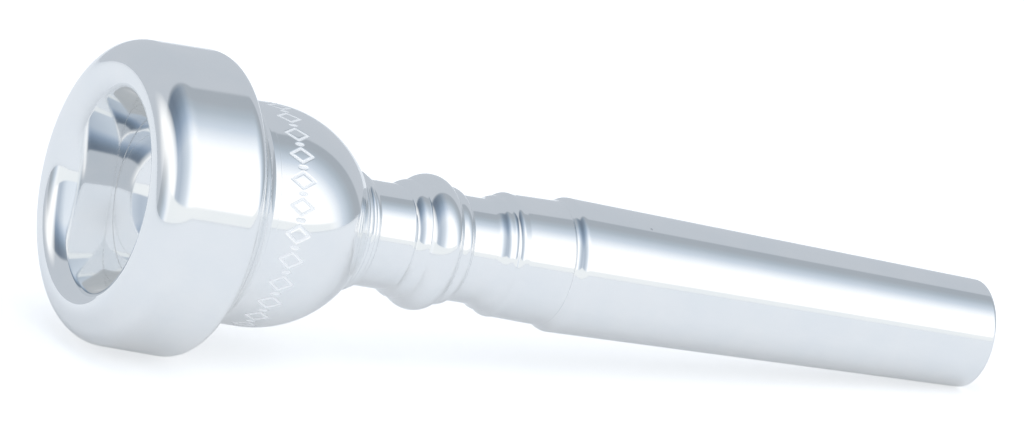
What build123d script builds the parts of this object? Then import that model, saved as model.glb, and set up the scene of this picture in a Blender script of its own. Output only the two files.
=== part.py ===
from build123d import *
import math
import os

# Trumpet mouthpiece, silver-plated brass, in millimetres.
# The common axis is X. The rim faces +X and the shank's small end is at x = 0.
# Stations are measured back from the rim's crown plane, radii from the axis.

LENGTH = 88.6  # crown plane to the shank's small end

# Fits and edges
CLEARANCE = 0.05  # radial gap of every running fit
END_GAP = 0.1  # gap at the bottom of the stem's and the shank's sockets
SEAM_GAP = 0.05  # the rim's wall stops this far in front of the bowl's
BREAK = 0.12  # small broken edge
LEAD_IN = 0.3  # chamfers that guide a spigot into its socket

# Rim
CROWN_R = 10.50  # radius of the rim's highest circle
FACE_ROUND = 2.85  # rounding from the crown out to the band
BITE_ROUND = 1.90  # rounding from the crown into the cup
BAND_R = 13.35  # band just behind the face
BAND_BACK_R = 13.43  # band where the back shoulder starts
BAND_END = 8.43
SHOULDER_ROUND = 1.5
SHOULDER_DEG = 56.0  # slope of the back shoulder
COVE_ROUND = 2.6  # hollow that runs the shoulder into the bowl
COVE_START = 10.90
RIM_END = 12.15

# Cup cavity
BITE_END = 72.0  # turn at which the bite hands over to the cup wall
WALL_MIDDLE = (3.24, 8.13)  # the wall opens towards the bite
CUP_SEAM = 5.60  # where the rim's wall hands over to the bowl's
CAVITY_R = 7.56  # cavity at that seam
CUP_CENTRE = (3.89, 0.15)
CUP_ROUND = 7.60
CUP_BOTTOM = 10.87
THROAT_R = 1.83
THROAT_ROUND = 2.19  # shoulder from the cup into the throat

# Bowl
SPIGOT_R = 9.30  # threaded spigot inside the rim
BOWL_START = 12.75
BOWL_R = 9.80
BOWL_ROUND = 10.50
BOWL_CENTRE = (15.38, -0.70)
BOWL_ARC_END = 23.90
BOWL_END = 24.20
BOWL_END_R = 5.40

# Spacer rings
RIM_RING_R = 9.92
CUP_RING_R = 5.34
CUP_RING_END = 24.80

# Stem
SOCKET_START = 18.00  # bottom of the socket in the bowl
STEM_START = SOCKET_START + END_GAP
STEM_SPIGOT_R = 3.55
SHOULDER_R = 5.10  # shoulder that seats on the bead ring
NECK_START = 25.50
NECK_END = 37.20
NECK_R = 4.68
COLLAR = (29.90, 33.75)  # centres of the quarter-round collars on both sides of the bead
COLLAR_R = 5.25
COLLAR_ROUND = 1.2
BEAD_CENTRE = (31.78, 4.02)
BEAD_ROUND = 2.00
STEP = (38.44, 38.64)  # small step in front of the stem's body
STEP_R = 5.09
BODY_LIP = (39.45, 5.52)  # station and radius of the body's front lip
BODY_WAIST = (40.02, 5.46)
STEM_END = 44.50
STEM_END_R = 5.55
TAIL_R = 4.25
TAIL_END = 60.90

# Shank
SHANK_LIP_R = 5.57  # front edge, a hair proud of the stem
SHANK_TOP = 45.70  # from here on the taper is straight
SHANK_TAPER = 0.025  # radius lost for each mm, one in twenty on the diameter
SHANK_TIP_R = 4.92
TIP_ROUND = 0.42
BACKBORE_START = 25.0  # the throat is straight down to here
BORE_END_R = 4.25
BORE_BREAK = 0.1  # chamfer where the backbore meets the small end


def pt(station, radius):
    """Profile point from a station behind the crown plane and a radius."""
    return (LENGTH - station, radius)


def line(*stations):
    """Straight run through (station, radius) pairs."""
    return Polyline([pt(s, r) for s, r in stations])


def arc(centre, size, start_deg, end_deg):
    """Arc about a centre. 0 degrees points outward, 90 towards the shank."""
    points = []
    for deg in (start_deg, (start_deg + end_deg) / 2, end_deg):
        turn = math.radians(deg)
        points.append(pt(centre[0] + size * math.sin(turn), centre[1] + size * math.cos(turn)))
    return ThreePointArc(*points)


def on_arc(centre, size, deg):
    """Station and radius of one point of such an arc."""
    turn = math.radians(deg)
    return (centre[0] + size * math.sin(turn), centre[1] + size * math.cos(turn))


def ogee(start, end, share=0.6):
    """Two tangent arcs that leave and arrive along the axis. share is the first one's part."""
    run = end[0] - start[0]
    rise = end[1] - start[1]
    turn = 2 * math.atan2(abs(rise), run)
    total = run / math.sin(turn)
    sign = 1 if rise > 0 else -1
    first = total * share
    middle = (
        start[0] + first * math.sin(turn),
        start[1] + sign * first * (1 - math.cos(turn)),
    )
    half = turn / 2
    knee_1 = (start[0] + first * math.sin(half), start[1] + sign * first * (1 - math.cos(half)))
    second = total - first
    knee_2 = (end[0] - second * math.sin(half), end[1] - sign * second * (1 - math.cos(half)))
    return [
        ThreePointArc(pt(*start), pt(*knee_1), pt(*middle)),
        ThreePointArc(pt(*middle), pt(*knee_2), pt(*end)),
    ]


def turned(edges):
    """Solid made by turning a closed profile about the axis."""
    flat = []
    for edge in edges:
        flat += edge if isinstance(edge, list) else [edge]
    return revolve(make_face(flat), Axis.X, 360)


def bore_radius(station):
    """Backbore radius: it widens evenly from the throat to the shank's small end."""
    share = max(0.0, (station - BACKBORE_START) / (LENGTH - BACKBORE_START))
    return THROAT_R + (BORE_END_R - THROAT_R) * share


def shank_radius(station):
    return SHANK_TIP_R + SHANK_TAPER * (LENGTH - station)


def rim():
    """Screw-on rim: rounded face, wide band, back shoulder and the top of the cup wall."""
    shoulder_centre = (BAND_END, BAND_BACK_R - SHOULDER_ROUND)
    shoulder_end = on_arc(shoulder_centre, SHOULDER_ROUND, SHOULDER_DEG)
    slope = math.tan(math.radians(SHOULDER_DEG))
    cove_start_r = shoulder_end[1] - slope * (COVE_START - shoulder_end[0])
    turn = math.radians(SHOULDER_DEG)
    cove_centre = (
        COVE_START + COVE_ROUND * math.sin(turn),
        cove_start_r + COVE_ROUND * math.cos(turn),
    )
    leave = math.degrees(math.asin((cove_centre[0] - (RIM_END - BREAK)) / COVE_ROUND))
    cove_end = on_arc(cove_centre, COVE_ROUND, 180 + leave)
    bore = SPIGOT_R + CLEARANCE
    bite_end = on_arc((BITE_ROUND, CROWN_R), BITE_ROUND, 270 - BITE_END)
    wall_end = (CUP_SEAM - SEAM_GAP, CAVITY_R)
    return turned(
        [
            arc((FACE_ROUND, CROWN_R), FACE_ROUND, -90, 0),
            line((FACE_ROUND, BAND_R), (BAND_END, BAND_BACK_R)),
            arc(shoulder_centre, SHOULDER_ROUND, 0, SHOULDER_DEG),
            line(shoulder_end, (COVE_START, cove_start_r)),
            arc(cove_centre, COVE_ROUND, 180 + SHOULDER_DEG, 180 + leave),
            line(
                cove_end,
                (RIM_END, cove_end[1] - BREAK),
                (RIM_END, bore + BREAK),
                (RIM_END - BREAK, bore),
                (CUP_SEAM - SEAM_GAP, bore),
                wall_end,
            ),
            ThreePointArc(pt(*wall_end), pt(*WALL_MIDDLE), pt(*bite_end)),
            arc((BITE_ROUND, CROWN_R), BITE_ROUND, 270 - BITE_END, 270),
        ]
    )


def rim_ring():
    """Thin spacer ring that shows as a fine ridge between rim and bowl."""
    bore = SPIGOT_R + CLEARANCE
    return turned(
        [
            line(
                (RIM_END, bore),
                (RIM_END, RIM_RING_R - BREAK),
                (RIM_END + BREAK, RIM_RING_R),
                (BOWL_START - BREAK, RIM_RING_R),
                (BOWL_START, RIM_RING_R - BREAK),
                (BOWL_START, bore),
                (RIM_END, bore),
            )
        ]
    )


def cup():
    """Bowl with its spigot for the rim, the cup cavity, the throat and the stem's socket."""
    arc_start = math.degrees(math.asin((CUP_BOTTOM - CUP_CENTRE[0]) / CUP_ROUND))
    bottom = on_arc(CUP_CENTRE, CUP_ROUND, arc_start)
    throat_centre = (
        bottom[0] + THROAT_ROUND * math.sin(math.radians(arc_start)),
        bottom[1] + THROAT_ROUND * math.cos(math.radians(arc_start)),
    )
    seam_deg = math.degrees(math.asin((CUP_SEAM - CUP_CENTRE[0]) / CUP_ROUND))
    seam = on_arc(CUP_CENTRE, CUP_ROUND, seam_deg)
    throat = (throat_centre[0], throat_centre[1] - THROAT_ROUND)
    bowl_deg = math.degrees(math.asin((BOWL_ARC_END - BOWL_CENTRE[0]) / BOWL_ROUND))
    bowl_end = on_arc(BOWL_CENTRE, BOWL_ROUND, bowl_deg)
    socket = STEM_SPIGOT_R + CLEARANCE
    return turned(
        [
            line(
                seam,
                (CUP_SEAM, SPIGOT_R - LEAD_IN),
                (CUP_SEAM + LEAD_IN, SPIGOT_R),
                (BOWL_START, SPIGOT_R),
                (BOWL_START, BOWL_R - BREAK),
                (BOWL_START + BREAK, BOWL_R),
                (BOWL_CENTRE[0], BOWL_R),
            ),
            arc(BOWL_CENTRE, BOWL_ROUND, 0, bowl_deg),
            line(
                bowl_end,
                (BOWL_END, BOWL_END_R),
                (BOWL_END, socket + LEAD_IN),
                (BOWL_END - LEAD_IN, socket),
                (SOCKET_START, socket),
                (SOCKET_START, throat[1]),
                throat,
            ),
            arc(throat_centre, THROAT_ROUND, 180, 180 + arc_start),
            arc(CUP_CENTRE, CUP_ROUND, arc_start, seam_deg),
        ]
    )


def cup_ring():
    """Small spacer bead between the bowl and the stem."""
    bore = STEM_SPIGOT_R + CLEARANCE
    half = (CUP_RING_END - BOWL_END) / 2
    middle = BOWL_END + half
    lip = CUP_RING_R - half
    return turned(
        [
            line((BOWL_END, bore), (BOWL_END, lip)),
            arc((middle, lip), half, -90, 90),
            line((CUP_RING_END, lip), (CUP_RING_END, bore), (BOWL_END, bore)),
        ]
    )


def stem():
    """Stem with its threaded spigot, the necks, the bead group and the tail inside the shank."""
    bead_deg = math.degrees(math.acos((COLLAR_R - BEAD_CENTRE[1]) / BEAD_ROUND))
    bead_in = on_arc(BEAD_CENTRE, BEAD_ROUND, -bead_deg)
    bead_out = on_arc(BEAD_CENTRE, BEAD_ROUND, bead_deg)
    shoulder = (CUP_RING_END + BREAK, SHOULDER_R)
    neck_end = (NECK_END, NECK_R)
    front, rear = [(station, COLLAR_R - COLLAR_ROUND) for station in COLLAR]
    collar_deg = math.degrees(math.acos((NECK_R - front[1]) / COLLAR_ROUND))
    step = [(station, STEP_R) for station in STEP]
    return turned(
        [
            line(
                (STEM_START, THROAT_R),
                (STEM_START, STEM_SPIGOT_R - LEAD_IN),
                (STEM_START + LEAD_IN, STEM_SPIGOT_R),
                (CUP_RING_END, STEM_SPIGOT_R),
                (CUP_RING_END, SHOULDER_R - BREAK),
                shoulder,
            ),
            ogee(shoulder, (NECK_START, NECK_R)),
            line((NECK_START, NECK_R), on_arc(front, COLLAR_ROUND, -collar_deg)),
            arc(front, COLLAR_ROUND, -collar_deg, 0),
            line((COLLAR[0], COLLAR_R), bead_in),
            arc(BEAD_CENTRE, BEAD_ROUND, -bead_deg, bead_deg),
            line(bead_out, (COLLAR[1], COLLAR_R)),
            arc(rear, COLLAR_ROUND, 0, collar_deg),
            line(on_arc(rear, COLLAR_ROUND, collar_deg), neck_end),
            ogee(neck_end, step[0]),
            line(*step),
            ogee(step[1], BODY_LIP, 0.4),
            line(
                BODY_LIP,
                BODY_WAIST,
                (STEM_END - BREAK, STEM_END_R),
                (STEM_END, STEM_END_R - BREAK),
                (STEM_END, TAIL_R),
                (TAIL_END - LEAD_IN, TAIL_R),
                (TAIL_END, TAIL_R - LEAD_IN),
                (TAIL_END, bore_radius(TAIL_END)),
                (BACKBORE_START, THROAT_R),
                (STEM_START, THROAT_R),
            ),
        ]
    )


def shank():
    """Tapered shank that pushes onto the stem's tail and seats in the instrument's receiver."""
    bore = TAIL_R + CLEARANCE
    socket_end = TAIL_END + END_GAP
    lip = (STEM_END + BREAK / 2, SHANK_LIP_R)
    top = (SHANK_TOP, shank_radius(SHANK_TOP))
    tip = (LENGTH - TIP_ROUND, SHANK_TIP_R)
    return turned(
        [
            line((STEM_END, bore + BREAK), (STEM_END, SHANK_LIP_R - BREAK / 2), lip),
            ogee(lip, top, 0.45),
            line(top, tip),
            arc((LENGTH - TIP_ROUND, SHANK_TIP_R - TIP_ROUND), TIP_ROUND, 0, 90),
            line(
                (LENGTH, SHANK_TIP_R - TIP_ROUND),
                (LENGTH, BORE_END_R + BORE_BREAK),
                (LENGTH - BORE_BREAK, bore_radius(LENGTH - BORE_BREAK)),
                (socket_end, bore_radius(socket_end)),
                (socket_end, bore),
                (STEM_END + BREAK, bore),
                (STEM_END, bore + BREAK),
            ),
        ]
    )


NODES = {
    "rim": rim,
    "rim_ring": rim_ring,
    "cup": cup,
    "cup_ring": cup_ring,
    "stem": stem,
    "shank": shank,
}


def build():
    os.makedirs("parts", exist_ok=True)
    for name, make in NODES.items():
        export_step(make(), f"parts/{name}.step")


build()
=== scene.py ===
"""Visual model of a silver-plated trumpet mouthpiece, on a pale floor in soft studio light.

Profiles are in millimetres, as (station, radius): stations are measured back from the rim's crown
plane, radii from the axis. Meshes and everything in the scene are in metres, in the row frame, where
the axis is X and the rim faces +X.
"""

import cmath
import math

import bpy
import numpy as np
from mathutils import Matrix, Vector


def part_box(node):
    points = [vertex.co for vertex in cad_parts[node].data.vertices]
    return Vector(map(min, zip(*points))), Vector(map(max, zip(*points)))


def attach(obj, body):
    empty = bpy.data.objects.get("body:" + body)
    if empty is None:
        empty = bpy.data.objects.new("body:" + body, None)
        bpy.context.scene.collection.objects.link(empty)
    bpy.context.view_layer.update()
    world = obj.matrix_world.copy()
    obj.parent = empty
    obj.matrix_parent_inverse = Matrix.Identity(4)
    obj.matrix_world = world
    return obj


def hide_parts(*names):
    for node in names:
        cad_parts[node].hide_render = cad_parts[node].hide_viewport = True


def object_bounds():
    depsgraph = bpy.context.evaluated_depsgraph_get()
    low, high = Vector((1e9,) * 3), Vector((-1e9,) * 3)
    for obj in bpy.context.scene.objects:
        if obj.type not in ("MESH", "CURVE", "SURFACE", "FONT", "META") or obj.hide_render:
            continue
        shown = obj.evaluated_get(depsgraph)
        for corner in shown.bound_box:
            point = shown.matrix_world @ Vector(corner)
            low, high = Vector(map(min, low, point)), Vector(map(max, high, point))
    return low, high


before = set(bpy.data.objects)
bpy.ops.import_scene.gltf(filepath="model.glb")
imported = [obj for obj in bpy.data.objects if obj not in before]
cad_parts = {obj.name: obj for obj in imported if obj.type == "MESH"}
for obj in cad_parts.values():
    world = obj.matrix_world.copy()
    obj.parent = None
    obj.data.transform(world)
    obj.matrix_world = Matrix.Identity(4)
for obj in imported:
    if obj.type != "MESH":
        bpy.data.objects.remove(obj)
cad_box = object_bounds()

MM = 0.001
LENGTH = cad_box[1].x / MM  # crown plane to the shank's small end

# Seats and ends of the pieces, from the CAD nodes' boxes
RIM_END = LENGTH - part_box("rim")[0].x / MM
BOWL_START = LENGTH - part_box("rim_ring")[0].x / MM
BOWL_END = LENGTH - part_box("cup")[0].x / MM
CUP_RING_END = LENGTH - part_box("cup_ring")[0].x / MM
STEM_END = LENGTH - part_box("shank")[1].x / MM
TAIL_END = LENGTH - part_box("stem")[0].x / MM
CUP_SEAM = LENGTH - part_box("cup")[1].x / MM
STEM_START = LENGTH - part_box("stem")[1].x / MM
RIM_RING_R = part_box("rim_ring")[1].z / MM
CUP_RING_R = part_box("cup_ring")[1].z / MM
BAND_BACK_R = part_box("rim")[1].z / MM

# Rim
CROWN_R = 10.50
FACE_ROUND = 2.85
BITE_ROUND = 1.90
BAND_END = 8.43
SHOULDER_ROUND = 1.5
SHOULDER_DEG = 56.0
COVE_ROUND = 2.6
COVE_START = 10.90

# Cup cavity
BITE_END = 72.0
WALL_MIDDLE = (3.24, 8.13)
CAVITY_R = 7.56
CUP_CENTRE = (3.89, 0.15)
CUP_ROUND = 7.60
CUP_BOTTOM = 10.87
SEAM_GAP = 0.004  # hairline between rim and cup
THROAT_R = 1.83
THROAT_ROUND = 2.19

# Bowl
BOWL_R = 9.80
BOWL_ROUND = 10.50
BOWL_CENTRE = (15.38, -0.70)
BOWL_ARC_END = 23.90
BOWL_END_R = 5.40

# Stem
SOCKET_START = 18.00
SHOULDER_R = 5.10
NECK_START = 25.50
NECK_END = 37.20
NECK_R = 4.68
COLLAR = (29.90, 33.75)
COLLAR_R = 5.25
COLLAR_ROUND = 1.2
BEAD_CENTRE = (31.78, 4.02)
BEAD_ROUND = 2.00
STEP = (38.44, 38.64)
STEP_R = 5.09
BODY_LIP = (39.45, 5.52)
BODY_WAIST = (40.02, 5.46)
STEM_END_R = 5.55
TAIL_R = 4.25

# Shank
SHANK_LIP_R = 5.57
SHANK_TOP = 45.70
SHANK_TAPER = 0.025
SHANK_TIP_R = 4.92
TIP_ROUND = 0.42
BACKBORE_START = 25.0
BORE_END_R = 4.25

# Threads: for each one its run, the male crest, the depth, the plain pilot in front and the relief behind
PITCH = 1.0
THREAD_GAP = 0.06
RIM_THREAD = {"run": (7.4, 11.7), "crest": 9.30, "depth": 0.42, "pilot": 8.74, "undercut": 0.25}
STEM_THREAD = {"run": (19.0, 23.7), "crest": 3.55, "depth": 0.38, "pilot": 3.06, "undercut": 0.2}
FLANK_SLOPE = 1.9
FLANK_OFFSET = 0.45
THREAD_FADE = 0.35  # length over which a thread runs out
RUN_OUT = 0.1  # step between a thread and its pilot

# Edges and clearances inside the joints
SPIGOT_CHAMFER = 0.2
RIM_MOUTH = 0.25
CUP_MOUTH = (0.2, 0.3)  # chamfer of the cup's socket, along the axis and outward
SHANK_MOUTH = 0.12
TAIL_CHAMFER = 0.3
TAIL_END_GAP = 0.1
TIP_CHAMFER = 0.1
RING_CLEARANCE = 0.05
TAIL_CLEARANCE = 0.05
SHOULDER_LAND = 0.12
LIP_EDGE = 0.06

# Engraved band round the bowl: lozenges with a dot between each two
ENGRAVED_FROM = 13.75
ENGRAVED_TO = 16.10
LOZENGES = 26
LOZENGE_HALF_HEIGHT = 1.06
LOZENGE_HALF_WIDTH = 0.72
DOT_HALF_HEIGHT = 0.42
DOT_HALF_WIDTH = 0.17
STROKE = 0.20
STROKE_EDGE = 0.07
ENGRAVED_DEPTH = 0.05

# Meshing
SEGMENTS = 256
FINE_COLUMNS = 3  # columns of the engraved rows for each ordinary one
DENSE_STEP = 0.02  # spacing at which an outline is sampled before it is thinned
GROWTH = 0.3  # how fast the spacing may grow along an outline
COARSEST = 0.6
TURN_DEG = 3.0  # largest turn between two faces
THREAD_SPACING = 0.07
ENGRAVED_SPACING = 0.06
SHARP_REACH = 0.35  # an edge kept sharp is blended into the polished outline over SHARP_BLEND
SHARP_BLEND = 0.2
SOFT_HEAVY = 0.05  # polishing radii: rim and cup, stem and shank, spacer rings
SOFT_LIGHT = 0.045
SOFT_RING = 0.035
ON_SURFACE = 0.03  # how near a point is to the surface that it belongs to

POLISHED, SATIN = 0, 1


# ---------------------------------------------------------------- outlines


def arc(centre, size, start_deg, end_deg):
    """Points of an arc about a centre. 0 degrees points outward, 90 towards the shank."""
    count = max(3, math.ceil(abs(end_deg - start_deg) * math.radians(1) * size / DENSE_STEP))
    turns = np.radians(np.linspace(start_deg, end_deg, count))
    return [(centre[0] + size * math.sin(t), centre[1] + size * math.cos(t)) for t in turns]


def through(first, middle, last):
    """Points of the arc that passes through three points."""
    a, b, c = (complex(*p) for p in (first, middle, last))
    ratio = (c - a) / (b - a)
    centre = a + (b - a) * (ratio - abs(ratio) ** 2) / (ratio - ratio.conjugate())
    sweep = cmath.phase((c - centre) / (a - centre))
    count = max(3, math.ceil(abs(sweep) * abs(a - centre) / DENSE_STEP))
    points = [centre + (a - centre) * cmath.exp(1j * sweep * k / count) for k in range(count + 1)]
    return [(p.real, p.imag) for p in points]


def ogee(start, end, share=0.6):
    """Two tangent arcs that leave and arrive along the axis. share is the first one's part."""
    run = end[0] - start[0]
    rise = end[1] - start[1]
    turn = math.degrees(2 * math.atan2(abs(rise), run))
    total = run / math.sin(math.radians(turn))
    first = total * share
    second = total - first
    if rise > 0:
        return arc((start[0], start[1] + first), first, 180, 180 - turn) + arc(
            (end[0], end[1] - second), second, -turn, 0
        )
    return arc((start[0], start[1] - first), first, 0, turn) + arc(
        (end[0], end[1] + second), second, 180 + turn, 180
    )


def bore_radius(station):
    """The backbore widens evenly from the throat to the shank's small end."""
    share = max(0.0, (station - BACKBORE_START) / (LENGTH - BACKBORE_START))
    return THROAT_R + (BORE_END_R - THROAT_R) * share


def shank_radius(station):
    return SHANK_TIP_R + SHANK_TAPER * (LENGTH - station)


def sampled(points):
    """A closed outline sampled evenly at about DENSE_STEP."""
    loop = np.array(points + points[:1], float)
    steps = np.hypot(*np.diff(loop, axis=0).T)
    keep = np.r_[True, steps > 1e-9]
    loop = loop[keep]
    along = np.r_[0, np.cumsum(np.hypot(*np.diff(loop, axis=0).T))]
    at = np.linspace(0, along[-1], math.ceil(along[-1] / DENSE_STEP) + 1)[:-1]
    return np.c_[np.interp(at, along, loop[:, 0]), np.interp(at, along, loop[:, 1])]


def polished(points, soft, detail=None, sharp=None):
    """A closed outline with its corners rounded as polishing rounds them, thinned where it is straight.

    soft is the polishing radius. detail gives the largest spacing wanted at a (station, radius). The
    corner at the point sharp keeps its edge, as where two pieces are lapped together.
    """
    if sharp:
        first = min(range(len(points)), key=lambda k: math.dist(points[k], sharp))
        points = points[first:] + points[:first]
    dense = sampled(points)
    count = len(dense)
    reach = np.fft.fftfreq(count) * count * DENSE_STEP
    kernel = np.exp(-0.5 * (reach / soft) ** 2)
    kernel /= kernel.sum()
    blur = np.fft.fft(kernel)
    smooth = np.stack([np.fft.ifft(np.fft.fft(dense[:, k]) * blur).real for k in (0, 1)], 1)
    if sharp:
        away = np.hypot(*(dense - sharp).T)
        keep = np.clip((SHARP_REACH - away) / SHARP_BLEND, 0, 1)[:, None]
        smooth = smooth * (1 - keep) + dense * keep
    ahead = np.roll(smooth, -1, 0) - smooth
    step = np.hypot(*ahead.T)
    heading = np.unwrap(np.arctan2(ahead[:, 1], ahead[:, 0]))
    whole_turns = round((heading[-1] - heading[0]) / math.tau)
    bend = np.abs(np.diff(np.r_[heading, heading[0] + whole_turns * math.tau]))
    bend = np.minimum(bend, math.pi)
    spacing = np.minimum(COARSEST, math.radians(TURN_DEG) / np.maximum(bend / step, 1e-6))
    if detail:
        spacing = np.minimum(spacing, [detail(s, r) for s, r in smooth])
    for _ in range(3):
        for k in range(1, count):
            spacing[k] = min(spacing[k], spacing[k - 1] + GROWTH * step[k - 1])
        spacing[0] = min(spacing[0], spacing[-1])
        for k in range(count - 2, -1, -1):
            spacing[k] = min(spacing[k], spacing[k + 1] + GROWTH * step[k])
        spacing[-1] = min(spacing[-1], spacing[0])
    weight = np.cumsum(step / spacing)
    kept = max(8, math.ceil(weight[-1]))
    places = np.interp(np.arange(kept) / kept * weight[-1], np.r_[0, weight], np.arange(count + 1))
    looped = np.vstack([smooth, smooth[:1]])
    index = np.arange(count + 1)
    return np.c_[np.interp(places, index, looped[:, 0]), np.interp(places, index, looped[:, 1])]


def rim_outline():
    shoulder_centre = (BAND_END, BAND_BACK_R - SHOULDER_ROUND)
    turn = math.radians(SHOULDER_DEG)
    shoulder_end = arc(shoulder_centre, SHOULDER_ROUND, SHOULDER_DEG, SHOULDER_DEG)[0]
    cove_start_r = shoulder_end[1] - math.tan(turn) * (COVE_START - shoulder_end[0])
    cove_centre = (COVE_START + COVE_ROUND * math.sin(turn), cove_start_r + COVE_ROUND * math.cos(turn))
    leave = math.degrees(math.asin((cove_centre[0] - RIM_END) / COVE_ROUND))
    start, end = RIM_THREAD["run"]
    bore = RIM_THREAD["crest"] + THREAD_GAP
    pilot = RIM_THREAD["pilot"] + THREAD_GAP
    seam = CUP_SEAM - SEAM_GAP
    bite = arc((BITE_ROUND, CROWN_R), BITE_ROUND, 270 - BITE_END, 270)
    return (
        arc((FACE_ROUND, CROWN_R), FACE_ROUND, -90, 0)
        + arc(shoulder_centre, SHOULDER_ROUND, 0, SHOULDER_DEG)
        + arc(cove_centre, COVE_ROUND, 180 + SHOULDER_DEG, 180 + leave)
        + [(RIM_END, bore + RIM_MOUTH), (end + RIM_MOUTH, bore)]
        + [(start - RUN_OUT / 2, bore), (start - RUN_OUT, pilot), (seam, pilot)]
        + through((seam, CAVITY_R), WALL_MIDDLE, bite[0])
        + bite
    )


def rim_ring_outline():
    bore = RIM_THREAD["crest"] + RING_CLEARANCE
    return [(RIM_END, bore), (RIM_END, RIM_RING_R), (BOWL_START, RIM_RING_R), (BOWL_START, bore)]


def cup_outline():
    arc_start = math.degrees(math.asin((CUP_BOTTOM - CUP_CENTRE[0]) / CUP_ROUND))
    bottom = arc(CUP_CENTRE, CUP_ROUND, arc_start, arc_start)[0]
    turn = math.radians(arc_start)
    throat_centre = (bottom[0] + THROAT_ROUND * math.sin(turn), bottom[1] + THROAT_ROUND * math.cos(turn))
    seam_deg = math.degrees(math.asin((CUP_SEAM - CUP_CENTRE[0]) / CUP_ROUND))
    bowl_deg = math.degrees(math.asin((BOWL_ARC_END - BOWL_CENTRE[0]) / BOWL_ROUND))
    start, end = RIM_THREAD["run"]
    crest, pilot = RIM_THREAD["crest"], RIM_THREAD["pilot"]
    relieved = crest - RIM_THREAD["undercut"]
    socket = STEM_THREAD["crest"] + THREAD_GAP
    socket_pilot = STEM_THREAD["pilot"] + THREAD_GAP
    inner_start, inner_end = STEM_THREAD["run"]
    throat_r = throat_centre[1] - THROAT_ROUND
    return (
        [(CUP_SEAM, pilot - SPIGOT_CHAMFER), (CUP_SEAM + SPIGOT_CHAMFER, pilot)]
        + [(start - RUN_OUT, pilot), (start, crest), (end, crest)]
        + [(end + RUN_OUT, relieved), (BOWL_START, relieved), (BOWL_START, BOWL_R)]
        + arc(BOWL_CENTRE, BOWL_ROUND, 0, bowl_deg)
        + [(BOWL_END, BOWL_END_R), (BOWL_END, socket + CUP_MOUTH[1]), (inner_end + CUP_MOUTH[0], socket)]
        + [(inner_start, socket), (inner_start - RUN_OUT, socket_pilot), (SOCKET_START, socket_pilot)]
        + [(SOCKET_START, throat_r)]
        + arc(throat_centre, THROAT_ROUND, 180, 180 + arc_start)
        + arc(CUP_CENTRE, CUP_ROUND, arc_start, seam_deg)
    )


def cup_ring_outline():
    bore = STEM_THREAD["crest"] + RING_CLEARANCE
    half = (CUP_RING_END - BOWL_END) / 2
    middle = BOWL_END + half
    return [(BOWL_END, bore)] + arc((middle, CUP_RING_R - half), half, -90, 90) + [(CUP_RING_END, bore)]


def stem_outline():
    bead_deg = math.degrees(math.acos((COLLAR_R - BEAD_CENTRE[1]) / BEAD_ROUND))
    collar_r = COLLAR_R - COLLAR_ROUND
    collar_deg = math.degrees(math.acos((NECK_R - collar_r) / COLLAR_ROUND))
    start, end = STEM_THREAD["run"]
    crest, pilot = STEM_THREAD["crest"], STEM_THREAD["pilot"]
    relieved = crest - STEM_THREAD["undercut"]
    return (
        [(STEM_START, THROAT_R), (STEM_START, pilot - SPIGOT_CHAMFER), (STEM_START + SPIGOT_CHAMFER, pilot)]
        + [(start - RUN_OUT, pilot), (start, crest), (end, crest), (end + RUN_OUT, relieved)]
        + [(CUP_RING_END, relieved), (CUP_RING_END, SHOULDER_R)]
        + ogee((CUP_RING_END + SHOULDER_LAND, SHOULDER_R), (NECK_START, NECK_R))
        + arc((COLLAR[0], collar_r), COLLAR_ROUND, -collar_deg, 0)
        + arc(BEAD_CENTRE, BEAD_ROUND, -bead_deg, bead_deg)
        + arc((COLLAR[1], collar_r), COLLAR_ROUND, 0, collar_deg)
        + ogee((NECK_END, NECK_R), (STEP[0], STEP_R))
        + ogee((STEP[1], STEP_R), BODY_LIP, 0.4)
        + [BODY_WAIST, (STEM_END, STEM_END_R), (STEM_END, TAIL_R)]
        + [(TAIL_END - TAIL_CHAMFER, TAIL_R), (TAIL_END, TAIL_R - TAIL_CHAMFER)]
        + [(TAIL_END, bore_radius(TAIL_END))]
        + [(BACKBORE_START, THROAT_R)]
    )


def shank_outline():
    bore = TAIL_R + TAIL_CLEARANCE
    socket_end = TAIL_END + TAIL_END_GAP
    bevel = LENGTH - TIP_CHAMFER
    return (
        [(STEM_END, bore + SHANK_MOUTH), (STEM_END, SHANK_LIP_R - LIP_EDGE)]
        + ogee((STEM_END + LIP_EDGE, SHANK_LIP_R), (SHANK_TOP, shank_radius(SHANK_TOP)), 0.45)
        + arc((LENGTH - TIP_ROUND, SHANK_TIP_R - TIP_ROUND), TIP_ROUND, 0, 90)
        + [(LENGTH, BORE_END_R + TIP_CHAMFER), (bevel, bore_radius(bevel))]
        + [(socket_end, bore_radius(socket_end)), (socket_end, bore), (STEM_END + SHANK_MOUTH, bore)]
    )


# ---------------------------------------------------------------- relief


def thread_cut(thread, station, turn):
    """Depth of a right-hand thread below its crest at a station and an angle about +X."""
    start, end = thread["run"]
    phase = (station / PITCH + turn / math.tau) % 1.0
    flank = np.clip(np.abs(2 * phase - 1) * FLANK_SLOPE - FLANK_OFFSET, 0, 1)
    fade = np.clip(np.minimum(station - start, end - station) / THREAD_FADE, 0, 1)
    return thread["depth"] * (1 - flank * flank * (3 - 2 * flank)) * fade


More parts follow.
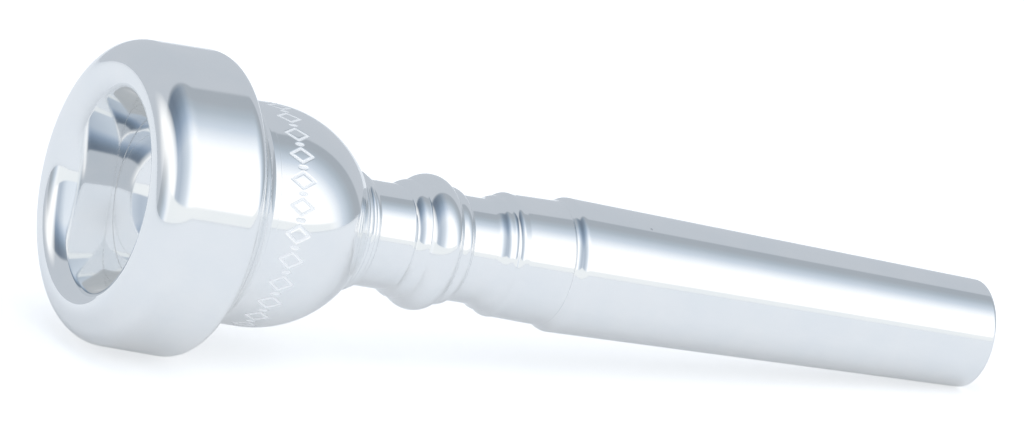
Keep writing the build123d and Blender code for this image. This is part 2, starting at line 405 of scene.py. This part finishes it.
def engraving(station, turn):
    """How far a point of the bowl lies inside an engraved stroke, from 0 to 1."""
    pitch = math.tau / LOZENGES
    middle = (ENGRAVED_FROM + ENGRAVED_TO) / 2
    across = ((turn / pitch) % 1.0 - 0.5) * pitch * BOWL_R
    gap = (((turn / pitch) + 0.5) % 1.0 - 0.5) * pitch * BOWL_R
    along = station - middle
    high, wide = LOZENGE_HALF_HEIGHT, LOZENGE_HALF_WIDTH
    slant = high * wide / math.hypot(high, wide)
    shape = np.abs(across) / wide + np.abs(along) / high
    line = STROKE / 2 - np.abs(shape - 1) * slant
    dot = (1 - np.hypot(gap / DOT_HALF_WIDTH, along / DOT_HALF_HEIGHT)) * DOT_HALF_WIDTH
    inside = np.maximum(line, dot)
    return np.clip(inside / STROKE_EDGE + 0.5, 0, 1)


# ---------------------------------------------------------------- meshes


def turned(name, outline, relief=None, finish=None, fine=None):
    """Closed mesh turned about X from a closed outline.

    relief(station, radius, turn) is the depth cut below the surface. finish(station, radius) names the
    material of a face. fine(station, radius) is true on rows that have FINE_COLUMNS times the columns.
    """
    x, r = LENGTH - outline[:, 0], outline[:, 1]
    area = np.sum(x * np.roll(r, -1) - np.roll(x, -1) * r)
    if area < 0:
        outline = outline[::-1]
    rows, starts, total = [], [], 0
    coords, marks = [], []
    for station, radius in outline:
        columns = SEGMENTS * (FINE_COLUMNS if fine and fine(station, radius) else 1)
        turn = np.arange(columns) / columns * math.tau
        cut = relief(station, radius, turn) if relief else np.zeros(columns)
        depth = radius - cut
        coords.append(np.c_[np.full(columns, LENGTH - station), depth * np.cos(turn), depth * np.sin(turn)])
        marks.append(cut)
        rows.append(columns)
        starts.append(total)
        total += columns
    faces, kinds = [], []
    for k in range(len(outline)):
        n = (k + 1) % len(outline)
        middle = (outline[k] + outline[n]) / 2
        kind = finish(*middle) if finish else POLISHED
        new = joined_rows(starts[k], rows[k], starts[n], rows[n])
        faces += new
        kinds += [kind] * len(new)
    mesh = bpy.data.meshes.new(name)
    mesh.from_pydata(np.vstack(coords) * MM, [], faces)
    mesh.polygons.foreach_set("material_index", kinds)
    mesh.polygons.foreach_set("use_smooth", [True] * len(faces))
    cut_depth = mesh.attributes.new("cut_depth", "FLOAT", "POINT")
    cut_depth.data.foreach_set("value", np.concatenate(marks).astype(np.float32))
    mesh.update()
    thing = bpy.data.objects.new(name, mesh)
    bpy.context.scene.collection.objects.link(thing)
    return thing


def joined_rows(a, columns_a, b, columns_b):
    """Faces between two rows of vertices that start at a and b and may differ in columns."""
    if columns_a == columns_b:
        nxt = [(j + 1) % columns_a for j in range(columns_a)]
        return [(a + j, b + j, b + nxt[j], a + nxt[j]) for j in range(columns_a)]
    faces = []
    coarse = min(columns_a, columns_b)
    for j in range(coarse):
        n = (j + 1) % coarse
        f = [(FINE_COLUMNS * j + k) % (FINE_COLUMNS * coarse) for k in range(FINE_COLUMNS + 1)]
        if columns_a == coarse:
            faces.append((a + j, b + f[0], b + f[1]))
            faces.append((a + j, b + f[1], b + f[2], a + n))
            faces.append((a + n, b + f[2], b + f[3]))
        else:
            faces.append((a + f[0], b + j, a + f[1]))
            faces.append((a + f[1], b + j, b + n, a + f[2]))
            faces.append((a + f[2], b + n, a + f[3]))
    return faces


# ---------------------------------------------------------------- materials


WHITE = (1.0, 1.0, 1.0, 1)
PLATE_HAZY = (0.885, 0.90, 0.91, 1)
PLATE_CLEAR = (0.915, 0.92, 0.922, 1)
ENGRAVED_COLOUR = (0.97, 0.975, 0.98, 1)
SPECK_COLOUR = (0.42, 0.43, 0.45, 1)
SATIN_DARK = (0.74, 0.745, 0.74, 1)
SATIN_PALE = (0.86, 0.865, 0.865, 1)
PAPER_DARK = (0.93, 0.935, 0.94, 1)
PAPER_PALE = (0.96, 0.96, 0.96, 1)

PLATE_ROUGH = (0.035, 0.075)  # least and most roughness of the haze on polished plate
SATIN_ROUGH = (0.20, 0.30)
ENGRAVED_ROUGH = 0.42  # added in the strokes
ENGRAVED_METAL = 0.25  # frosted strokes scatter light more than they mirror it
SPECK_SIZE = (0.030, 0.055)  # a speck's core and its edge, in cells
SPECK_RARE = 0.93  # share of the cells that have no speck
RELIEF_HEIGHT = 0.00002

# Past this many mirror bounces the plate stops reflecting and glows an even pale grey instead: a painted
# glow that stands in for the light still to come
MIRROR_BOUNCES = 2.5
MIRROR_GLOW_GREY = (0.55, 0.575, 0.60, 1)


class Nodes:
    """Short way to add and join shader nodes."""

    def __init__(self, tree):
        self.tree = tree
        tree.nodes.clear()

    def add(self, kind, inputs=None, **settings):
        node = self.tree.nodes.new(kind)
        for key, value in settings.items():
            setattr(node, key, value)
        for key, value in (inputs or {}).items():
            self.put(node.inputs[key], value)
        return node

    def put(self, socket, value):
        if isinstance(value, bpy.types.NodeSocket):
            self.tree.links.new(value, socket)
        else:
            socket.default_value = value

    def math(self, operation, a, b=0.0, clamp=False):
        node = self.add("ShaderNodeMath", {0: a, 1: b}, operation=operation, use_clamp=clamp)
        return node.outputs[0]

    def remap(self, value, low, high, to_low=0.0, to_high=1.0):
        limits = {"From Min": low, "From Max": high, "To Min": to_low, "To Max": to_high}
        node = self.add("ShaderNodeMapRange", {"Value": value, **limits})
        return node.outputs["Result"]

    def ramp(self, value, stops):
        node = self.add("ShaderNodeValToRGB", {"Fac": value})
        ramp = node.color_ramp
        while len(ramp.elements) < len(stops):
            ramp.elements.new(0.5)
        for element, (place, colour) in zip(ramp.elements, stops):
            element.position = place
            element.color = (*colour, 1)
        return node.outputs["Color"]

    def noise(self, place, scale, detail):
        node = self.add("ShaderNodeTexNoise", {"Vector": place, "Scale": scale, "Detail": detail})
        return node.outputs["Fac"]

    def mix(self, factor, a, b, blend="MIX"):
        node = self.add("ShaderNodeMix", data_type="RGBA", blend_type=blend, clamp_factor=True)
        self.put(node.inputs[0], factor)
        self.put(node.inputs[6], a)
        self.put(node.inputs[7], b)
        return node.outputs[2]


def silver_polished():
    """Mirror-polished plate: faint turning lines, a soft haze, dull engraving and a few specks, with a
    painted pale glow in place of reflections after many mirror bounces.
    """
    material = bpy.data.materials.new("silver_polished")
    material.use_nodes = True
    n = Nodes(material.node_tree)
    place = n.add("ShaderNodeTexCoord").outputs["Object"]
    rings = n.add("ShaderNodeMapping", {"Vector": place, "Scale": (9000, 260, 260)}).outputs[0]
    lines = n.noise(rings, 1.0, 3.0)
    haze = n.noise(place, 240.0, 4.0)
    ripple = n.noise(place, 520.0, 1.0)
    speck = n.add("ShaderNodeTexVoronoi", {"Vector": place, "Scale": 330.0, "Randomness": 1.0})
    near = n.remap(speck.outputs["Distance"], *SPECK_SIZE, 1.0, 0.0)
    chance = n.add("ShaderNodeSeparateColor", {0: speck.outputs["Color"]}).outputs[0]
    spot = n.math("MULTIPLY", near, n.math("GREATER_THAN", chance, SPECK_RARE))
    cut = n.add("ShaderNodeAttribute", attribute_name="cut_depth").outputs["Fac"]
    engraved = n.remap(cut, 0.0, ENGRAVED_DEPTH * 0.6)
    tint = n.mix(n.remap(haze, 0.35, 0.7), PLATE_HAZY, PLATE_CLEAR)
    tint = n.mix(engraved, tint, ENGRAVED_COLOUR)
    tint = n.mix(n.math("MULTIPLY", spot, 0.55), tint, SPECK_COLOUR)
    rough = n.math("ADD", n.remap(haze, 0.3, 0.75, *PLATE_ROUGH), n.remap(lines, 0.3, 0.8, 0.0, 0.025))
    rough = n.math("ADD", rough, n.math("MULTIPLY", engraved, ENGRAVED_ROUGH), clamp=True)
    rough = n.math("ADD", rough, n.math("MULTIPLY", spot, 0.25), clamp=True)
    relief = n.math("ADD", n.math("MULTIPLY", lines, 0.10), n.math("MULTIPLY", ripple, 0.30))
    bump = n.add("ShaderNodeBump", {"Strength": 0.05, "Distance": RELIEF_HEIGHT, "Height": relief})
    metal = n.remap(engraved, 0.0, 1.0, 1.0, ENGRAVED_METAL)
    shader = n.add(
        "ShaderNodeBsdfPrincipled",
        {"Base Color": tint, "Metallic": metal, "Roughness": rough, "Normal": bump.outputs[0]},
    )
    # Painted glow: on rays that have bounced more than MIRROR_BOUNCES times, the plate emits an even pale
    # grey instead of reflecting
    bounces = n.add("ShaderNodeLightPath").outputs["Ray Depth"]
    deep = n.math("GREATER_THAN", bounces, MIRROR_BOUNCES)
    painted_glow = n.add("ShaderNodeEmission", {"Color": MIRROR_GLOW_GREY, "Strength": 1.0})
    mixed = n.add("ShaderNodeMixShader", {0: deep, 1: shader.outputs[0], 2: painted_glow.outputs[0]})
    out = n.add("ShaderNodeOutputMaterial")
    n.put(out.inputs["Surface"], mixed.outputs[0])
    return material


def silver_satin():
    """Unpolished plate on threads, spigots and bores: tool lines round the axis and a dull haze."""
    material = bpy.data.materials.new("silver_satin")
    material.use_nodes = True
    n = Nodes(material.node_tree)
    place = n.add("ShaderNodeTexCoord").outputs["Object"]
    rings = n.add("ShaderNodeMapping", {"Vector": place, "Scale": (16000, 200, 200)}).outputs[0]
    lines = n.noise(rings, 1.0, 2.0)
    haze = n.noise(place, 420.0, 5.0)
    tint = n.mix(n.remap(haze, 0.3, 0.72), SATIN_DARK, SATIN_PALE)
    rough = n.math("ADD", n.remap(haze, 0.3, 0.75, *SATIN_ROUGH), n.remap(lines, 0.3, 0.8, 0.0, 0.08))
    bump = n.add("ShaderNodeBump", {"Strength": 0.25, "Distance": RELIEF_HEIGHT, "Height": lines})
    shader = n.add(
        "ShaderNodeBsdfPrincipled",
        {"Base Color": tint, "Metallic": 1.0, "Roughness": rough, "Normal": bump.outputs[0]},
    )
    out = n.add("ShaderNodeOutputMaterial")
    n.put(out.inputs["Surface"], shader.outputs[0])
    return material


# ---------------------------------------------------------------- pieces

EDGE = 0.1  # how far past an edge a finish or the engraved band's fine rows reach
SKIN = 0.02  # how far a finish reaches past the surface that it belongs to
HIDDEN_IN_RIM = RIM_THREAD["crest"] + 0.4  # everything inside this radius is inside the joint
SPIGOT_INSIDE = RIM_THREAD["pilot"] - 0.4
HIDDEN_IN_CUP = STEM_THREAD["crest"] + 0.5
HIDDEN_ON_STEM = STEM_THREAD["crest"] + 0.2
BAND_INSIDE = BOWL_R - 0.6


def on_male(thread):
    """Test for points on a spigot that carries a male thread."""

    def test(station, radius):
        start, end = thread["run"]
        return start <= station <= end and abs(radius - thread["crest"]) < ON_SURFACE

    return test


def on_female(thread):
    """Test for points in a bore that carries a female thread."""

    def test(station, radius):
        start, end = thread["run"]
        return start <= station <= end and abs(radius - thread["crest"] - THREAD_GAP) < ON_SURFACE

    return test


def thread_relief(thread, test):
    def relief(station, radius, turn):
        return thread_cut(thread, station, turn) if test(station, radius) else np.zeros(len(turn))

    return relief


def thread_detail(test):
    return lambda station, radius: THREAD_SPACING if test(station, radius) else COARSEST


def add_piece(node, body, thing, materials):
    for material in materials:
        thing.data.materials.append(material)
    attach(thing, body)
    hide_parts(node)


def make_rim():
    female = on_female(RIM_THREAD)
    outline = polished(rim_outline(), SOFT_HEAVY, thread_detail(female), (CUP_SEAM, CAVITY_R))

    def finish(station, radius):
        inside = station > CUP_SEAM - EDGE and radius < HIDDEN_IN_RIM
        return SATIN if inside else POLISHED

    return turned("rim_turned", outline, thread_relief(RIM_THREAD, female), finish), outline


def make_rim_ring():
    return turned("rim_ring_turned", polished(rim_ring_outline(), SOFT_RING))


def make_cup():
    male, female = on_male(RIM_THREAD), on_female(STEM_THREAD)

    def band(station, radius):
        return ENGRAVED_FROM - EDGE <= station <= ENGRAVED_TO + EDGE and radius > BAND_INSIDE

    def relief(station, radius, turn):
        if male(station, radius):
            return thread_cut(RIM_THREAD, station, turn)
        if female(station, radius):
            return thread_cut(STEM_THREAD, station, turn)
        if band(station, radius):
            return ENGRAVED_DEPTH * engraving(station, turn)
        return np.zeros(len(turn))

    def detail(station, radius):
        if male(station, radius) or female(station, radius):
            return THREAD_SPACING
        return ENGRAVED_SPACING if band(station, radius) else COARSEST

    def finish(station, radius):
        spigot = station < BOWL_START and radius > SPIGOT_INSIDE
        socket = station > SOCKET_START - EDGE and radius < HIDDEN_IN_CUP
        return SATIN if spigot or socket else POLISHED

    outline = polished(cup_outline(), SOFT_HEAVY, detail, (CUP_SEAM, CAVITY_R))
    return turned("cup_turned", outline, relief, finish, band)


def make_cup_ring():
    return turned("cup_ring_turned", polished(cup_ring_outline(), SOFT_RING))


def make_stem():
    male = on_male(STEM_THREAD)
    outline = polished(stem_outline(), SOFT_LIGHT, thread_detail(male))

    def finish(station, radius):
        spigot = station < CUP_RING_END + SKIN and radius < HIDDEN_ON_STEM
        inside = radius < TAIL_R + TAIL_CLEARANCE and (station > STEM_END or radius < STEM_THREAD["pilot"])
        return SATIN if spigot or inside else POLISHED

    return turned("stem_turned", outline, thread_relief(STEM_THREAD, male), finish)


def make_shank():
    outline = polished(shank_outline(), SOFT_LIGHT)

    def finish(station, radius):
        bore = radius < bore_radius(station) + SKIN
        socket = station < TAIL_END + 2 * EDGE and radius < TAIL_R + EDGE
        return SATIN if bore or socket else POLISHED

    return turned("shank_turned", outline, None, finish), outline


def resting_slope(front, back):
    """Slope and height of the plane under the rim and the shank's small end, in metres."""
    slope = 0.0
    for _ in range(8):
        ends = []
        for outline in (front, back):
            x, r = LENGTH - outline[:, 0], outline[:, 1]
            k = int(np.argmax(r - slope * x))
            ends.append((x[k], r[k]))
        slope = (ends[0][1] - ends[1][1]) / (ends[0][0] - ends[1][0])
    return slope, (ends[1][1] - slope * ends[1][0]) * MM


# ---------------------------------------------------------------- studio

FLOOR_RADIUS = 3.0
FLOOR_SIDES = 96
FLOOR_GLOW = 0.05  # what the floor adds in reflections
FLOOR_GLOW_SEEN = 0.38  # and in plain view, so that it stays almost white
STUDIO_STRENGTH = 1.2
LAMP_POWER = 4.5
LAMP_SIZE = 1.6
LAMP_PLACE = (0.04, 0.1, 1.3)
CAMERA_AZIMUTH = 150.872
CAMERA_ELEVATION = 11.402
CAMERA_ROLL = -15.878
CAMERA_DISTANCE = 0.8688
CAMERA_AIM = Vector((48.165, -0.821, 3.556)) * MM
CAMERA_LENS = 348.13
SENSOR_WIDTH = 36.0


def add_camera():
    """A long lens from in front of the rim, a little above the axis, with the camera rolled."""
    az, el, roll = (math.radians(v) for v in (CAMERA_AZIMUTH, CAMERA_ELEVATION, CAMERA_ROLL))
    back = Vector((math.sin(az) * math.cos(el), -math.cos(az) * math.cos(el), math.sin(el)))
    level = (-back).cross(Vector((0, 0, 1))).normalized()
    upright = level.cross(-back)
    up = upright * math.cos(roll) + level * math.sin(roll)
    right = (-back).cross(up)
    camera = bpy.data.objects.new("camera", bpy.data.cameras.new("camera"))
    camera.data.lens = CAMERA_LENS
    camera.data.sensor_width = SENSOR_WIDTH
    camera.data.clip_start = 0.01
    camera.data.clip_end = 20.0
    place = CAMERA_AIM + back * CAMERA_DISTANCE
    camera.matrix_world = Matrix.Translation(place) @ Matrix((right, up, back)).transposed().to_4x4()
    bpy.context.scene.collection.objects.link(camera)
    bpy.context.scene.camera = camera


def add_floor(slope, depth):
    """Plain pale floor that touches the rim and the shank's small end."""
    points = [(0.0, 0.0)]
    for k in range(FLOOR_SIDES):
        turn = k / FLOOR_SIDES * math.tau
        points.append((FLOOR_RADIUS * math.cos(turn), FLOOR_RADIUS * math.sin(turn)))
    mesh = bpy.data.meshes.new("floor")
    faces = [(0, k + 1, (k + 1) % FLOOR_SIDES + 1) for k in range(FLOOR_SIDES)]
    mesh.from_pydata([(x, y, -depth - slope * x) for x, y in points], [], faces)
    material = bpy.data.materials.new("floor_paper")
    material.use_nodes = True
    n = Nodes(material.node_tree)
    place = n.add("ShaderNodeTexCoord").outputs["Object"]
    tint = n.mix(n.noise(place, 900.0, 2.0), PAPER_DARK, PAPER_PALE)
    shader = n.add("ShaderNodeBsdfPrincipled", {"Base Color": tint, "Roughness": 1.0})
    shader.inputs["Specular IOR Level"].default_value = 0.0
    shader.inputs["Emission Color"].default_value = WHITE
    seen = n.add("ShaderNodeLightPath").outputs["Is Camera Ray"]
    n.put(shader.inputs["Emission Strength"], n.remap(seen, 0.0, 1.0, FLOOR_GLOW, FLOOR_GLOW_SEEN))
    out = n.add("ShaderNodeOutputMaterial")
    n.put(out.inputs["Surface"], shader.outputs[0])
    mesh.materials.append(material)
    floor = bpy.data.objects.new("floor", mesh)
    bpy.context.scene.collection.objects.link(floor)


# Studio light by how far a direction points to the front (+Y), from -1 to 1: mid grey behind, a darker
# grey from just behind the axis to above it, then a soft rise to the white front panel
FRONT_STOPS = [
    (-1.0, (0.475, 0.51, 0.555)),
    (-0.29, (0.475, 0.51, 0.555)),
    (-0.25, (0.345, 0.38, 0.42)),
    (-0.09, (0.35, 0.385, 0.425)),
    (0.05, (0.39, 0.445, 0.50)),
    (0.25, (0.56, 0.625, 0.705)),
    (0.42, (0.84, 0.875, 0.92)),
    (0.53, (1.0, 1.0, 1.0)),
    (1.0, (1.0, 1.0, 1.0)),
]

# Share of that light by how far a direction points along the axis (+X, past the rim): a darker gap beside
# the front panel
SIDE_STOPS = [
    (-1.0, (1.0, 1.0, 1.0)),
    (-0.20, (1.0, 1.0, 1.0)),
    (0.0, (0.84, 0.88, 0.93)),
    (0.20, (0.60, 0.66, 0.73)),
    (0.55, (0.41, 0.47, 0.55)),
    (0.70, (0.44, 0.50, 0.58)),
    (0.84, (1.0, 1.0, 1.0)),
    (1.0, (1.0, 1.0, 1.0)),
]

# A side panel past the rim: how much white it adds by how far a direction points along the axis
SIDE_PANEL = [(-1.0, 0.0), (0.72, 0.0), (0.86, 0.9), (0.95, 0.9), (1.0, 0.45)]
GAP_FROM_BACK = (-0.27, -0.20)  # the gap starts between these, towards the front
PANEL_FROM_BACK = (-0.75, -0.45)  # and so does the side panel
PANEL_FROM_BELOW = (0.0, 0.25)  # which starts between these, upward

# Pale strip just above the floor: how high it reaches, its soft edge, and where it starts towards the front
LOW_STRIP = 0.18
LOW_STRIP_EDGE = 0.015
LOW_STRIP_FROM_BACK = (0.30, 0.55)
LOW_STRIP_COLOUR = (0.765, 0.795, 0.812, 1)


def add_studio():
    """Soft light from all round: what the polished metal mirrors."""
    world = bpy.data.worlds.new("studio")
    bpy.context.scene.world = world
    world.use_nodes = True
    n = Nodes(world.node_tree)
    ray = n.add("ShaderNodeTexCoord").outputs["Generated"]
    axes = n.add("ShaderNodeSeparateXYZ", {0: ray}).outputs
    front = n.remap(axes[1], -1.0, 1.0)
    side = n.remap(axes[0], -1.0, 1.0)
    glow = n.ramp(front, [((p + 1) / 2, c) for p, c in FRONT_STOPS])
    share = n.ramp(side, [((p + 1) / 2, c) for p, c in SIDE_STOPS])
    facing = n.remap(axes[1], *GAP_FROM_BACK)
    share = n.mix(facing, WHITE, share)
    glow = n.mix(1.0, glow, share, "MULTIPLY")
    panel = n.ramp(side, [((p + 1) / 2, (c, c, c)) for p, c in SIDE_PANEL])
    panel = n.math("MULTIPLY", panel, n.remap(axes[2], *PANEL_FROM_BELOW))
    panel = n.math("MULTIPLY", panel, n.remap(axes[1], *PANEL_FROM_BACK))
    glow = n.mix(panel, glow, WHITE)
    low = n.remap(axes[2], LOW_STRIP - LOW_STRIP_EDGE, LOW_STRIP + LOW_STRIP_EDGE, 1.0, 0.0)
    low = n.math("MULTIPLY", low, n.remap(axes[1], *LOW_STRIP_FROM_BACK))
    glow = n.mix(low, glow, LOW_STRIP_COLOUR)
    seen = n.add("ShaderNodeLightPath").outputs["Is Camera Ray"]
    glow = n.mix(seen, glow, WHITE)
    light = n.add("ShaderNodeBackground", {"Color": glow, "Strength": STUDIO_STRENGTH})
    out = n.add("ShaderNodeOutputWorld")
    n.put(out.inputs["Surface"], light.outputs[0])


def add_lamp():
    """Large soft lamp overhead that lights the floor evenly."""
    data = bpy.data.lights.new("overhead", "AREA")
    data.shape = "DISK"
    data.size = LAMP_SIZE
    data.energy = LAMP_POWER
    lamp = bpy.data.objects.new("overhead", data)
    lamp.location = LAMP_PLACE
    lamp.visible_glossy = False
    bpy.context.scene.collection.objects.link(lamp)


bpy.context.scene.view_settings.view_transform = "Standard"

polished_silver, satin_silver = silver_polished(), silver_satin()
both = [polished_silver, satin_silver]
rim, rim_line = make_rim()
shank, shank_line = make_shank()
add_piece("rim", "rim_body", rim, both)
add_piece("rim_ring", "rim_ring_body", make_rim_ring(), both)
add_piece("cup", "cup_body", make_cup(), both)
add_piece("cup_ring", "cup_ring_body", make_cup_ring(), both)
add_piece("stem", "stem_body", make_stem(), both)
add_piece("shank", "shank_body", shank, both)

add_floor(*resting_slope(rim_line, shank_line))
add_studio()
add_lamp()
add_camera()
